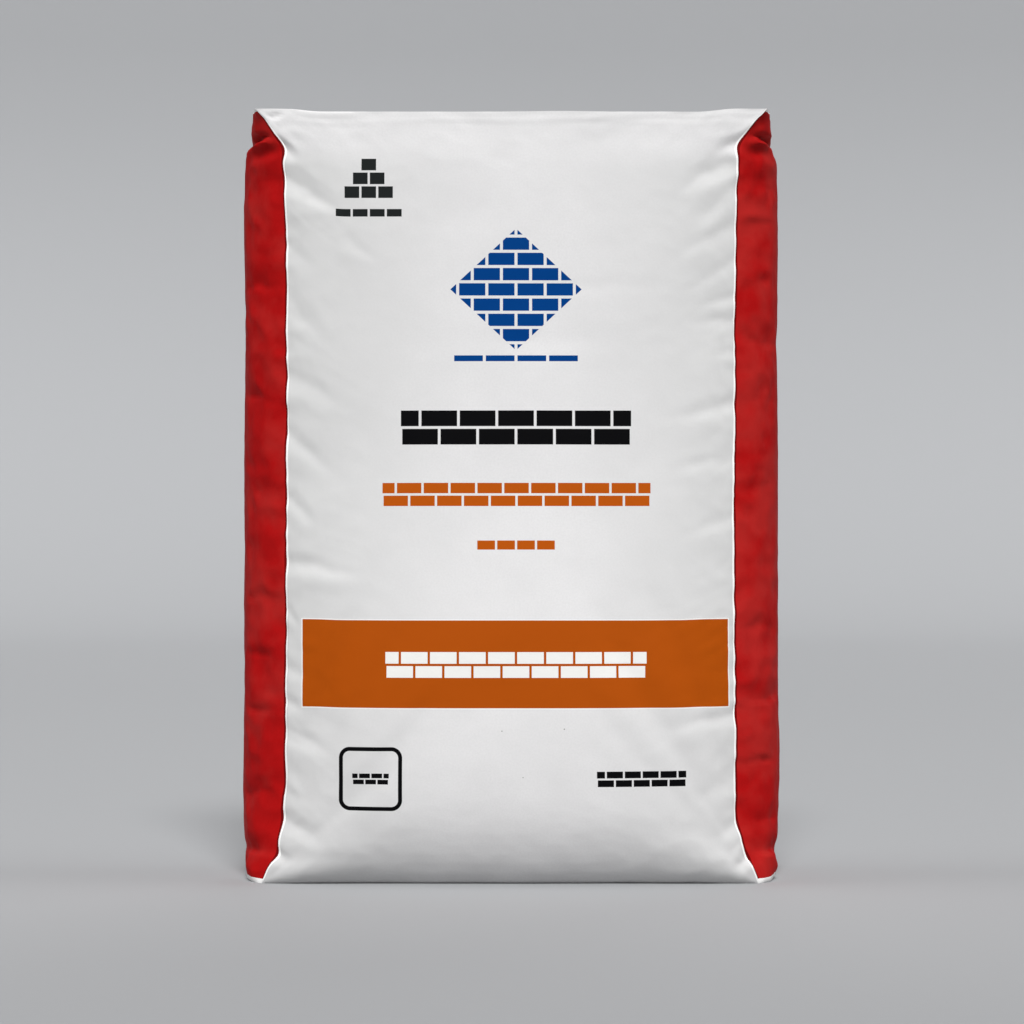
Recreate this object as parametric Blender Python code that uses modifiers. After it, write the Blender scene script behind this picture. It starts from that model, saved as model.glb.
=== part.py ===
"""A filled fifty-kilogram cement sack with folded block ends, standing on its bottom end.

Metres, +Z up. The origin is the middle of the bottom end, on the floor. X runs along the sack's
width and the printed front faces -Y. The sack is a flattened tube whose ends are folded into
rectangles. A cover patch is glued over each end, a filling sleeve lies flat under one end of the
top patch, and the cement fills the inside.
"""

import bpy
import bmesh
from mathutils import Vector

# Outer sizes of the filled sack
SACK_HEIGHT = 0.634          # floor to the upper end, between its raised corners
END_LENGTH = 0.421           # the folded end's long side
END_DEPTH = 0.105            # the folded end's short side
PANEL_WIDTH = 0.369          # the white front between its two upright folds
CORNER_RISE = 0.002          # how far the upper end's corners stand above its middle
CORNER_RISE_SPAN = 0.22      # share of the half length over which a corner rises

# Sheet thicknesses and the clearance between touching pieces
WALL = 0.0008                # three paper plies with the slack between them
PATCH = 0.0005               # one cover ply
CLEARANCE = 0.0003
FILL_CLEARANCE = 0.0007      # between the cement and the upright walls

# Opening left between the folded end flaps, as shares of the end's half sides
FLAP_OPENING = (4 / 6, 2 / 8)

# Cover patches and filling sleeve
PATCH_REACH = 11 / 12        # share of the end's half length that a patch covers
PATCH_DEPTH = 0.092
SLEEVE_WIDTH = 0.084
SLEEVE_REACH = (0.5, 1.0)    # from its inner end to its mouth, as shares of the end's half length
SLEEVE_HEIGHT = 0.0012       # both plies and the slit between them
SLEEVE_PLY = 0.0004

# Half width of the filled sack seen from the front, at heights above the floor. The dips near the
# ends are the tucks where the sides fold in towards the ends.
SIDE_OUTLINE = (
    (0.000, 0.2130), (0.008, 0.2180), (0.018, 0.2228), (0.030, 0.2195), (0.047, 0.2220),
    (0.120, 0.2225), (0.400, 0.2225), (0.560, 0.2212), (0.596, 0.2190), (0.6055, 0.2140),
    (0.616, 0.2165), (0.634, 0.2125),
)
# How far the upright folds stand out past the end's half depth, and how far the middle of the
# front and back swells past the folds
FOLD_SPREAD = (
    (0.000, 0.0000), (0.030, 0.0015), (0.100, 0.0075), (0.220, 0.0093), (0.420, 0.0063),
    (0.580, 0.0015), (0.634, 0.0000),
)
PANEL_SWELL = (
    (0.000, 0.0000), (0.006, 0.0052), (0.018, 0.0127), (0.030, 0.0182), (0.047, 0.0217),
    (0.085, 0.0247), (0.130, 0.0261), (0.200, 0.0245), (0.300, 0.0181), (0.400, 0.0119),
    (0.560, 0.0042), (0.634, 0.0000),
)
PANEL_ROUND = 3.4            # power of their curve across: flat in the middle, steep by the folds
# How far the upright folds flare out towards the corners of each end
FOLD_FLARE_LOW = 0.058
FOLD_FLARE_HIGH = 0.033

# Where the surface is cut into facets
FRONT_COLUMNS = 12
SIDE_COLUMNS = 8
END_ROWS = (0.006, 0.012, 0.018, 0.024, 0.030, 0.037, 0.047, 0.062, 0.085, 0.120)
MIDDLE_ROWS = 7

SACK_BASE = PATCH + CLEARANCE
FLAP_TOP = SACK_HEIGHT


def smooth(share):
    """0 to 1 with level ends."""
    share = min(max(share, 0.0), 1.0)
    return share * share * (3 - 2 * share)


def along(outline, height):
    """The value of an outline at a height, on a smooth curve through its points."""
    if height <= outline[0][0]:
        return outline[0][1]
    for (low, value_low), (high, value_high) in zip(outline, outline[1:]):
        if height <= high:
            share = (height - low) / (high - low)
            return value_low + (value_high - value_low) * (share + smooth(share)) / 2
    return outline[-1][1]


def fold_line(height):
    """Distance of the upright folds from the sack's middle plane."""
    low = 1 - smooth((height - SACK_BASE) / FOLD_FLARE_LOW)
    high = 1 - smooth((FLAP_TOP - height) / FOLD_FLARE_HIGH)
    return PANEL_WIDTH / 2 + (END_LENGTH - PANEL_WIDTH) / 2 * max(low, high)


def corner_rise(across):
    """Height of the upper end at a share of its half length, above its middle."""
    return CORNER_RISE * smooth((abs(across) - 1 + CORNER_RISE_SPAN) / CORNER_RISE_SPAN)


def sack_point(across, deep, height, inset=0.0):
    """A point of the sack. across and deep run from -1 to 1 between opposite folds."""
    fold_x = fold_line(height)
    side_swell = along(SIDE_OUTLINE, height) - fold_x
    fold_y = END_DEPTH / 2 + along(FOLD_SPREAD, height)
    swell = along(PANEL_SWELL, height)
    x = across * (fold_x + side_swell * (1 - deep ** 2) - inset)
    y = deep * (fold_y + swell * (1 - abs(across) ** PANEL_ROUND) - inset)
    raised = corner_rise(across) * smooth(height / FLAP_TOP)
    return Vector((x, y, height + raised))


def shares(count):
    """The inner lines that cut -1 to 1 into equal columns."""
    return [2 * i / count - 1 for i in range(1, count)]


def row_heights():
    """Heights of the inner rows, close together at both ends."""
    low, high = END_ROWS[-1], FLAP_TOP - END_ROWS[-1]
    step = (high - low) / (MIDDLE_ROWS + 1)
    middle = [low + step * i for i in range(1, MIDDLE_ROWS + 1)]
    return [*END_ROWS, *middle, *(FLAP_TOP - row for row in END_ROWS)]


def cut_box(low, high, columns, depths, rows):
    """A box from corner low to corner high, cut by planes across X, Y and Z."""
    box = bmesh.new()
    bmesh.ops.create_cube(box, size=1.0)
    for vert in box.verts:
        vert.co = Vector(low[i] if vert.co[i] < 0 else high[i] for i in range(3))
    for axis, places in zip(range(3), (columns, depths, rows)):
        normal = Vector(1.0 if i == axis else 0.0 for i in range(3))
        for place in places:
            if low[axis] < place < high[axis]:
                every = [*box.verts, *box.edges, *box.faces]
                bmesh.ops.bisect_plane(box, geom=every, plane_co=normal * place, plane_no=normal)
    return box


def paint(name, colour, roughness):
    """A Principled material with no metal in it."""
    material = bpy.data.materials.new(name)
    material.use_nodes = True
    shader = material.node_tree.nodes["Principled BSDF"]
    shader.inputs["Base Color"].default_value = (*colour, 1.0)
    shader.inputs["Roughness"].default_value = roughness
    shader.inputs["Metallic"].default_value = 0.0
    return material


def add_piece(name, shape, *materials):
    """Turns a bmesh into a named object in the sack's collection."""
    mesh = bpy.data.meshes.new(name)
    bmesh.ops.recalc_face_normals(shape, faces=shape.faces)
    shape.to_mesh(mesh)
    shape.free()
    for material in materials:
        mesh.materials.append(material)
    piece = bpy.data.objects.new(name, mesh)
    sack.objects.link(piece)
    mesh.shade_smooth()
    mesh.set_sharp_from_angle(angle=0.6)
    return piece


def give_thickness(piece, thickness):
    """Grows an open sheet inwards into a wall."""
    wall = piece.modifiers.new("Wall", "SOLIDIFY")
    wall.thickness = thickness
    wall.offset = -1.0
    wall.use_even_offset = True
    wall.use_quality_normals = True


def add_sack_tube():
    """The tube with its folded end flaps. The flaps leave a slot in the middle of each end."""
    tube = cut_box((-1, -1, SACK_BASE), (1, 1, FLAP_TOP), shares(FRONT_COLUMNS),
                   shares(SIDE_COLUMNS), row_heights())
    slot_x, slot_y = FLAP_OPENING
    slots = []
    for face in tube.faces:
        middle = face.calc_center_median()
        at_end = abs(face.normal.z) > 0.5
        if at_end and abs(middle.x) < slot_x and abs(middle.y) < slot_y:
            slots.append(face)
        if abs(face.normal.x) > 0.5:
            face.material_index = 1
    bmesh.ops.delete(tube, geom=slots, context="FACES")
    for vert in tube.verts:
        vert.co = sack_point(*vert.co)
    white = paint("bleached_sack_paper", (0.78, 0.79, 0.79), 0.5)
    red = paint("red_printed_sack_paper", (0.42, 0.011, 0.012), 0.45)
    give_thickness(add_piece("sack_tube", tube, white, red), WALL)


def add_cement_fill():
    """The cement, standing on the lower flaps and just clear of the walls."""
    floor = SACK_BASE + WALL + CLEARANCE
    roof = FLAP_TOP - WALL - CLEARANCE
    fill = cut_box((-1, -1, floor), (1, 1, roof), shares(FRONT_COLUMNS), shares(SIDE_COLUMNS),
                   row_heights())
    for vert in fill.verts:
        vert.co = sack_point(*vert.co, inset=WALL + FILL_CLEARANCE)
    add_piece("cement_fill", fill, paint("grey_cement", (0.27, 0.27, 0.25), 0.95))


def add_patch(name, floor, lift):
    """A cover patch that follows the flaps under it. lift gives its extra height at an X share."""
    half_depth = PATCH_DEPTH / 2
    sheet = cut_box((-PATCH_REACH, -half_depth, 0.0), (PATCH_REACH, half_depth, PATCH),
                    shares(FRONT_COLUMNS), (), ())
    for vert in sheet.verts:
        across = vert.co.x
        vert.co.z += floor + lift(across)
        vert.co.x = across * END_LENGTH / 2
    add_piece(name, sheet, paint(name + "_paper", (0.74, 0.74, 0.72), 0.6))


def sleeve_lift(across):
    """How far the top patch stands off the flaps: more where it passes over the sleeve."""
    ramp = smooth((across - SLEEVE_REACH[0] + 2 / FRONT_COLUMNS) * FRONT_COLUMNS / 2)
    return corner_rise(across) + ramp * (SLEEVE_HEIGHT + CLEARANCE)


def add_valve_sleeve():
    """The flattened filling sleeve: open at its mouth and over the slot between the flaps."""
    floor = FLAP_TOP + CLEARANCE
    half_width = SLEEVE_WIDTH / 2
    inner, mouth = SLEEVE_REACH
    sleeve = cut_box((inner, -half_width, floor), (mouth, half_width, floor + SLEEVE_HEIGHT),
                     shares(FRONT_COLUMNS), (), ())
    ends = [face for face in sleeve.faces if abs(face.normal.x) > 0.5]
    bmesh.ops.delete(sleeve, geom=ends, context="FACES")
    for vert in sleeve.verts:
        across = vert.co.x
        vert.co.z += corner_rise(across)
        vert.co.x = across * END_LENGTH / 2
    paper = paint("brown_sleeve_paper", (0.42, 0.27, 0.14), 0.7)
    give_thickness(add_piece("valve_sleeve", sleeve, paper), SLEEVE_PLY)


for old in list(bpy.data.objects):
    bpy.data.objects.remove(old)
sack = bpy.data.collections.new("cement_sack")
bpy.context.scene.collection.children.link(sack)

add_sack_tube()
add_cement_fill()
add_patch("bottom_patch", 0.0, lambda across: 0.0)
add_patch("top_patch", FLAP_TOP + CLEARANCE, sleeve_lift)
add_valve_sleeve()
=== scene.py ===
import math

import bmesh
import bpy
import numpy as np
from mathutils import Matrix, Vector, noise


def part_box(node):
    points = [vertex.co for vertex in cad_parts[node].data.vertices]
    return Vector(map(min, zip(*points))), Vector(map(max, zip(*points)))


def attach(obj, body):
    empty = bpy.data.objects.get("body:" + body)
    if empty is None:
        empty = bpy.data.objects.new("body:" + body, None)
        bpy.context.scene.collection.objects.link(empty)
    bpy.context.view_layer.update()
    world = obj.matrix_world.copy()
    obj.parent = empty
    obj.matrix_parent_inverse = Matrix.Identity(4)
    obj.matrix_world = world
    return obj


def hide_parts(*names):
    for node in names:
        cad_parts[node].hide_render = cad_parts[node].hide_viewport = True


# A filled cement sack standing on its bottom end: red sides, white front and back, folded block ends.
# Outlines and patterns are in millimetres, everything that goes to Blender is in metres.
mm = 0.001

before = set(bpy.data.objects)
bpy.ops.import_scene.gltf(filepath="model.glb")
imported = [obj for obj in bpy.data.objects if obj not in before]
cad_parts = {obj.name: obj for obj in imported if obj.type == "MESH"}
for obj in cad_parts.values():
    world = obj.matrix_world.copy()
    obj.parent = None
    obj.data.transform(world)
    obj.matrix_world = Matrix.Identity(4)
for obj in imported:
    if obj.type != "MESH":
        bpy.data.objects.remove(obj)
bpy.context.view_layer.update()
tubeLow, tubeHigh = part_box("sack_tube")
print("frame loaded, sack tube from", tuple(tubeLow), "to", tuple(tubeHigh))

sack = {
    "height": 634.0,  # floor to the upper end's middle
    "panelHalf": 184.5,  # half of the white panel between two upright folds
    "panelMiddle": 183.4,  # the same on the filled sack, without the waves of its folds
    # Over and under these heights a fold's waves die out towards the panel's middle, within these lengths
    "calm": ((28, 25), (606, 12)),
    "endHalf": (210.5, 52.5),  # half sides of the folded ends
    "girdleHalf": 77.0,  # half of a red side's width along the paper
    # height, then the power of the front's and back's curve across. It is flat in the middle and steep by the
    # folds, most of all where the front rolls under to the bottom end
    "panelRound": ((0, 12.0), (15, 10.5), (24, 8.0), (36, 5.2), (60, 3.6), (120, 3.3), (634, 3.4)),
    # height, then the power of the sides' curve: square at the ends, where the sack is folded into a box
    "sideRound": ((0, 4.0), (22, 3.2), (60, 2.3), (110, 2.0), (560, 2.0), (596, 2.6), (612, 4.0), (634, 6.0)),
    "foldCrease": 0.85,  # how sharp the folds stay, up to 1
    "sharpAngle": 0.9,  # folds that turn further, in radians, are creased
    "foot": 0.8,  # height of the bottom end, on its cover patch
    "footRim": (14, 5),  # but for its rim, this wide along short and long edges
    "footEdge": (0.1, 8),  # height of the rim's edge, and over what height walls come down to it
    "floorGap": 0.05,  # nothing reaches lower than this
    "cells": (64, 20, 124),  # grid cells across, deep and up, before the last halving
    "crowding": (0.34, 0.28, 0.15),  # how much the grid gathers at the folds on each axis
    "onFace": 0.01,  # a point this near to a face of the sheet lies on it
    # height, then the distance of an upright fold from the middle: the folds flare out to the end's corners
    "leftFold": (
        (0, 205.0), (4, 203.2), (7, 201.8), (12, 199.2), (16, 195.9), (20.5, 191.2), (24, 188.9),
        (27.5, 188.4), (36, 188.5), (44, 187.5), (52, 186.4), (68, 185.8), (88, 183.4), (120, 183.9),
        (233, 183.4), (300, 183.1), (397, 182.9), (460, 183.4), (527, 183.6), (560, 184.6), (577, 185.8),
        (590, 186.4), (597, 184.4), (601, 184.6), (605, 186.9), (608, 189.0), (612.6, 192.4), (616, 195.2),
        (622.4, 199.9), (626, 203.2), (630, 207.4), (634, 210.2)),
    "rightFold": (
        (0, 203.4), (4, 202.0), (7, 200.6), (12, 197.8), (16, 195.8), (20.3, 195.8), (23.6, 192.9),
        (27.5, 189.8), (33, 188.7), (38, 187.1), (43, 185.7), (48, 184.4), (53, 183.3), (61, 183.4),
        (69, 183.1), (86, 183.0), (102, 183.1), (233, 182.2), (315, 181.8), (397, 183.0), (479, 183.3),
        (528, 183.8), (560, 184.3), (577, 185.0), (590, 185.3), (597, 184.3), (600, 183.8), (603, 184.2),
        (606, 185.4), (608, 187.0), (612.6, 191.1), (616, 193.7), (622.4, 198.3), (626, 202.1),
        (630, 206.9), (634, 210.2)),
    # height, then the distance of a swollen side's middle
    "leftSide": (
        (0, 216.8), (2.5, 220.0), (6, 221.3), (12, 221.7), (18, 222.1), (24, 222.1), (32, 223.0),
        (50, 224.1), (85, 225.0), (120, 224.9), (152, 224.4), (233, 223.9), (315, 223.3), (400, 223.3),
        (500, 223.7), (560, 223.5), (592, 221.9), (600, 221.4), (603, 220.1), (608, 216.0), (611, 215.9),
        (616, 216.3), (626, 213.9), (634, 211.5)),
    "rightSide": (
        (0, 216.8), (2.5, 219.6), (6, 221.3), (12, 221.6), (17, 220.8), (24, 221.2), (32, 222.9),
        (50, 224.0), (105, 225.7), (152, 224.9), (233, 224.2), (315, 223.4), (400, 223.4), (480, 223.8),
        (560, 223.1), (585, 222.2), (592, 222.2), (597, 221.3), (600, 220.1), (603, 218.3), (607, 217.2),
        (611, 217.3), (616, 216.9), (626, 214.7), (630, 213.9), (634, 212.6)),
    # height, then half the depth at the upright folds
    "foldDepth": (
        (0, 51.0), (3, 52.4), (8, 53.2), (26, 53.6), (60, 57.0), (120, 60.5), (220, 61.8), (420, 58.4),
        (580, 53.6), (612, 52.4), (634, 52.5)),
    # height, then half the depth at the middle of the front and back: it rolls under to the bottom end
    "panelDepth": (
        (0, 50.0), (2, 53.3), (5, 57.4), (9, 61.5), (14, 65.1), (22, 70.1), (30, 74.8), (38, 78.9),
        (51, 83.8), (67, 87.1), (84, 88.7), (119, 89.0), (150, 88.3), (190, 85.9), (250, 80.1), (380, 69.3),
        (540, 60.1), (585, 56.8), (600, 55.2), (616, 53.1), (634, 52.2)),
    # how far the upper corners stand up, and the shares of the half length between which they rise
    "cornerRise": (2.3, 0.74, 0.88),
    # how far the upper end's middle sags, and the shares of its half sides that it takes to get there
    "sag": (2.2, 0.12, 0.35),
    # step where one folded end flap lies over the next, where the two long ones meet, and the step's width
    "flaps": (0.45, 12.0, 1.2),
}
sackMiddle = np.array([0, 0, sack["height"] / 2 * mm])

patch = {
    "half": (193.0, 46.0),  # half sides of the cover patch glued over each end
    "cells": (96, 24),
    "paper": 0.35,  # its thickness
    "lift": 0.12,  # glue and air under it
    "ripple": (26.0, 0.12),  # scale and height of its waves
    "ridges": (4.0, 0.12, 0.08),  # spacing of its fine ridges, their drawing out, and height
    "flapsShow": 0.6,  # share of the flaps' steps that shows through
    "overSleeve": 0.45,  # how far the sleeve raises it
    # how far before the sleeve's inner end that starts and how far it takes, and the same beside the sleeve
    "sleeveSlope": (4, 8, 3, 3),
    "onFloor": (0.05, 0.6),  # the lower patch's height, and the share of its waves
}

sleeve = {
    "reach": (106.0, 209.4),  # from its inner end to its mouth
    "half": 42.0,  # half its width
    "height": 1.0,  # both plies and the slit between them
    "paper": 0.28,
    "cells": (26, 20),
    "lift": 0.15,  # how far it stands over the dented flaps
    "sideFold": (0.35, 0.3),  # heights of both plies at a side fold, as shares of its own
    "gape": (16, 0.9, 0.4),  # length over which its mouth opens, how far, and how unevenly
    "ripple": (14.0, 0.06),  # scale and height of its waves
    "dent": 1.35,  # the flaps give way this far under it
    "dentEdge": (5, 4, 3),  # how far the dent reaches past its end and sides, and its slope
}


def smooth(share):
    share = np.clip(share, 0, 1)
    return share * share * (3 - 2 * share)


def curveAt(outline, height):
    # A smooth curve through the outline's points that never overshoots them
    heights, values = np.array(outline, float).T
    steps, rises = np.diff(heights), np.diff(values)
    slopes = rises / steps
    turn = (slopes[1:] * steps[:-1] + slopes[:-1] * steps[1:]) / (steps[1:] + steps[:-1])
    turn = np.where(slopes[1:] * slopes[:-1] > 0, turn, 0.0)
    tangents = np.concatenate([slopes[:1], turn, slopes[-1:]])
    place = np.clip(np.searchsorted(heights, height) - 1, 0, len(heights) - 2)
    step = steps[place]
    share = np.clip((height - heights[place]) / step, 0, 1)
    return (values[place] + rises[place] * smooth(share)
            + step * share * (1 - share) * (tangents[place] * (1 - share) - tangents[place + 1] * share))


def bump(distance, reach):
    return np.exp(-(distance / reach) ** 2)


def wander(points, scale, offset=0.0):
    # Smooth noise from -1 to 1 at a scale in millimetres
    return np.array([noise.noise(Vector(point)) for point in points / scale + offset])


def readVectors(items, name):
    values = np.empty(len(items) * 3, np.float32)
    items.foreach_get(name, values)
    return values.reshape(-1, 3).astype(float)


def readPoints(mesh):
    return readVectors(mesh.vertices, "co")


def readSheet(mesh):
    return readVectors(mesh.attributes["sheet"].data, "vector")


def writePoints(mesh, points):
    mesh.vertices.foreach_set("co", points.astype(np.float32).ravel())
    mesh.update()


def toMesh(shape, name):
    mesh = bpy.data.meshes.new(name)
    shape.to_mesh(mesh)
    shape.free()
    return mesh


def addObject(name, mesh):
    piece = bpy.data.objects.new(name, mesh)
    bpy.context.scene.collection.objects.link(piece)
    return piece


def settle(piece):
    # The piece with its modifiers worked in and no shape keys left on it
    name = piece.name
    graph = bpy.context.evaluated_depsgraph_get()
    mesh = bpy.data.meshes.new_from_object(piece.evaluated_get(graph))
    bpy.data.objects.remove(piece)
    mesh.name = name
    return addObject(name, mesh)


def cutAlong(shape, axis, cells):
    # Cuts the edges that run along one axis into cells, with a grid on the faces between them
    along = [edge for edge in shape.edges
             if abs((edge.verts[0].co - edge.verts[1].co).normalized()[axis]) > 0.9]
    bmesh.ops.subdivide_edges(shape, edges=along, cuts=cells - 1, use_grid_fill=True)


def cutBlock(cells):
    # A block from -1 to 1 whose six sides are cut into a grid, with its box edges kept as creases
    block = bmesh.new()
    bmesh.ops.create_cube(block, size=2.0)
    crease = block.edges.layers.float.new("crease_edge")
    for axis in range(3):
        cutAlong(block, axis, cells[axis])
    for edge in block.edges:
        sides = sum(all(abs(abs(vert.co[axis]) - 1) < 1e-5 for vert in edge.verts) for axis in range(3))
        if sides >= 2:
            edge[crease] = sack["foldCrease"]
    return toMesh(block, "sack")


def topHeight(across, deep):
    # The upper end's height over its middle's level: corners up, middle down
    rise, riseStart, riseEnd = sack["cornerRise"]
    depth, endShare, longShare = sack["sag"]
    corner = rise * smooth((np.abs(across) - riseStart) / (riseEnd - riseStart))
    return corner - depth * smooth((1 - abs(across)) / endShare) * smooth((1 - abs(deep)) / longShare)


def flapHeight(across, deep):
    # Steps of the folded flaps on both ends: the short sides' triangles lie under the long sides' flaps
    halfX, halfY = sack["endHalf"]
    step, meet, width = sack["flaps"]
    x, y = across * halfX, deep * halfY
    underneath = smooth((halfY - np.abs(y) - halfX + np.abs(x)) / width)
    return -step * underneath - step * smooth((y - meet) / width) * (1 - underneath)


def sleeveDent(across, deep):
    pastEnd, pastSide, slope = sleeve["dentEdge"]
    x, y = across * sack["endHalf"][0], deep * sack["endHalf"][1]
    inside = smooth((x - sleeve["reach"][0] + pastEnd) / pastEnd)
    return -sleeve["dent"] * inside * smooth((sleeve["half"] + pastSide - np.abs(y)) / slope)


def sackShape(across, deep, height):
    # Points of the filled sack. across and deep run from -1 to 1 between opposite folds
    fold = np.where(across < 0, curveAt(sack["leftFold"], height), curveAt(sack["rightFold"], height))
    side = np.where(across < 0, curveAt(sack["leftSide"], height), curveAt(sack["rightSide"], height))
    # Away from the ends a fold's waves die out towards the panel's middle, so that the print stays straight
    (low, over), (high, under) = sack["calm"]
    calm = smooth((height - low) / over) * smooth((high - height) / under) * (1 - across ** 6)
    fold = fold + (sack["panelMiddle"] - fold) * calm
    foldDepth = curveAt(sack["foldDepth"], height)
    swell = curveAt(sack["panelDepth"], height) - foldDepth
    x = across * (fold + (side - fold) * (1 - np.abs(deep) ** curveAt(sack["sideRound"], height)))
    y = deep * (foldDepth + swell * (1 - np.abs(across) ** curveAt(sack["panelRound"], height)))
    lift = topHeight(across, deep) * smooth(height / sack["height"])
    lift += np.where(height > sack["height"] - sack["onFace"], sleeveDent(across, deep), 0)
    halfX, halfY = sack["endHalf"]
    rimX, rimY = sack["footRim"]
    edge, walls = sack["footEdge"]
    rim = np.minimum((1 - np.abs(across)) * halfX / rimX, (1 - np.abs(deep)) * halfY / rimY)
    foot = edge + (sack["foot"] - edge) * smooth(rim)
    lift += np.where(height < sack["onFace"], foot, edge * (1 - smooth(height / walls)))
    return np.stack([x, y, height + lift], 1)


def facesOf(sheet):
    # Which points are on the front, the back, a side and an end. A fold's points are on both its faces
    across, deep, height = sheet.T
    near, halfHeight = sack["onFace"], sack["height"] / 2
    return (deep < near - sack["girdleHalf"], deep > sack["girdleHalf"] - near,
            np.abs(across) > sack["panelHalf"] - near, np.abs(height - halfHeight) > halfHeight - near)


def makeSackBlank():
    # The sack's main form, with every point's place on the unfilled sheet kept in "sheet", in millimetres
    mesh = cutBlock(sack["cells"])
    block = readPoints(mesh)
    crowded = block * (1 + np.array(sack["crowding"]) * (1 - block ** 2))
    across, deep, up = crowded.T
    height = (up + 1) / 2 * sack["height"]
    sheet = np.stack([across * sack["panelHalf"], deep * sack["girdleHalf"], height], 1)
    writePoints(mesh, sackShape(across, deep, height) * mm)
    made = mesh.attributes.new("sheet", "FLOAT_VECTOR", "POINT")
    made.data.foreach_set("vector", sheet.astype(np.float32).ravel())
    return addObject("sack", mesh)


creases = {
    # Tension creases on the front, in millimetres across from the middle and up from the floor: where each
    # starts at an upright fold, where it dies out, how deep and how wide. A negative depth is a ridge.
    "front": (
        (-189, 605, -177, 591, 4.2, 8.0), (-188, 579, -144, 555, 3.0, 12.0), (-163, 561, -141, 552, 1.0, 5.0),
        (-178, 627, -166, 631, 1.6, 2.4), (-132, 528, -111, 510, 0.6, 6.0), (-183, 521, -162, 500, 1.1, 8.0),
        (-183, 478, -155, 440, 1.0, 9.0), (-184, 412, -136, 394, 1.0, 8.0), (-183, 366, -148, 338, 1.6, 8.5),
        (-182, 315, -160, 292, 1.6, 7.0), (-184, 263, -130, 256, 1.7, 8.0), (-184, 224, -172, 209, 1.1, 5.0),
        (-184, 177, -165, 166, 1.1, 6.5), (-184, 150, -170, 143, 0.8, 5.5), (-178, 124, -145, 108, 1.4, 9.0),
        (-184, 84, -168, 72, -0.9, 6.0), (-186, 55, -150, 33, 1.9, 9.0), (-190, 26, -173, 17, 2.3, 5.5),
        (191, 608, 169, 599, 3.5, 9.5), (176, 590, 139, 570, 2.5, 11.0), (182, 568, 150, 537, 1.2, 8.0),
        (184, 538, 135, 514, 0.9, 8.0), (182, 507, 139, 482, 0.7, 6.5), (184, 479, 156, 474, 0.8, 5.5),
        (184, 462, 150, 456, 0.8, 6.0), (184, 436, 163, 431, 0.6, 5.0), (184, 393, 129, 381, 1.2, 8.0),
        (184, 348, 129, 338, 0.8, 6.5), (184, 299, 142, 286, 0.8, 8.0), (184, 139, 130, 129, 1.4, 8.0),
        (183, 87, 152, 70, 0.9, 10.0), (187, 51, 165, 38, 1.0, 6.5), (193, 29, 171, 11, 3.6, 5.5),
    ),
    # Shallow hollows on the front: middle, half sizes and depth
    "hollows": (
        (-160, 338, 22, 20, 1.0), (-150, 250, 24, 12, -0.8), (-150, 128, 13, 26, 1.4),
        (165, 458, 20, 24, 0.9), (-120, 330, 40, 60, 0.7), (110, 220, 50, 45, 0.7),
        (-60, 560, 55, 30, 0.6), (70, 350, 45, 70, 0.6), (20, 445, 70, 10, 0.5), (60, 490, 60, 7, 0.4),
    ),
    "begin": 0.25,  # share of its length over which a crease comes up
    "end": (1.15, 0.85),  # share of its length where it ends, and over which it dies out
    "narrow": (1.15, 0.45),  # share of its width at its start, and the loss until its end
    "soft": 0.15,  # how round its bottom is, as a share of its width
    "flank": 1.15,  # power of its flanks, straight at 1
    "ridge": (0.5, 1.6, 1.2),  # height, distance and reach of the ridge beside it, as shares of its size
    # Buckles along the four upright folds, left or right and front or back: height of the sharp lower lip,
    # and size
    "buckles": {
        (-1, -1): ((575, 2.1), (488, 6.0), (393, 4.8), (323, 3.3), (236, 5.1), (188, 5.7), (140, 4.5),
                   (76, 6.3)),
        (1, -1): ((566, 2.7), (541, 4.8), (490, 2.7), (444, 6.3), (396, 3.6), (320, 2.7), (211, 5.7),
                  (147, 5.4), (101, 6.0), (51, 4.8)),
        (-1, 1): ((560, 4.2), (505, 5.1), (430, 3.6), (352, 6.0), (268, 4.2), (205, 5.4), (118, 4.8),
                  (62, 4.5)),
        (1, 1): ((580, 3.6), (520, 5.7), (462, 3.9), (371, 5.4), (310, 3.6), (243, 6.0), (171, 3.9),
                 (88, 5.7)),
    },
    "buckleDepth": 0.64,  # share of its size that a buckle is deep on the narrow side
    "buckleUp": 17.0,  # a buckle deepens downwards over this height
    "buckleDown": 42.0,  # and fades out over this height below its lip
    "buckleLean": 9.0,  # how far its lip leans across half the side
    "buckleReach": 0.92,  # share of the side's half width that it takes
    # The crease that runs from a buckle onto the back: how far in and down, each with how much further for
    # a millimetre of the buckle's size, then its depth as a share of that size, and its width
    "ontoBack": (15, 6, 6, 4, 0.3, 7.0),
    # height, then how steeply fine creases run down as they run in from an upright fold
    "slant": ((0, 0.95), (110, 0.5), (250, 0.25), (350, 0.4), (480, 0.6), (634, 1.0)),
    "slantScale": (15.0, 52.0),  # spacing of the fine creases along the fold, and their length
    "slantWidth": 0.32,  # their width as a share of the spacing
    "slantDepth": 0.42,
    "slantReach": 42,  # they fade over this distance from the fold
    "slantTop": (550.0, 50),  # and out over the second height from the first
    # where the glued overlap's edge runs down the back, its step, the step's width, and how far the paper
    # takes to come level again
    "seam": (22.0, 0.5, 2.0, 45.0),
}


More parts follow.
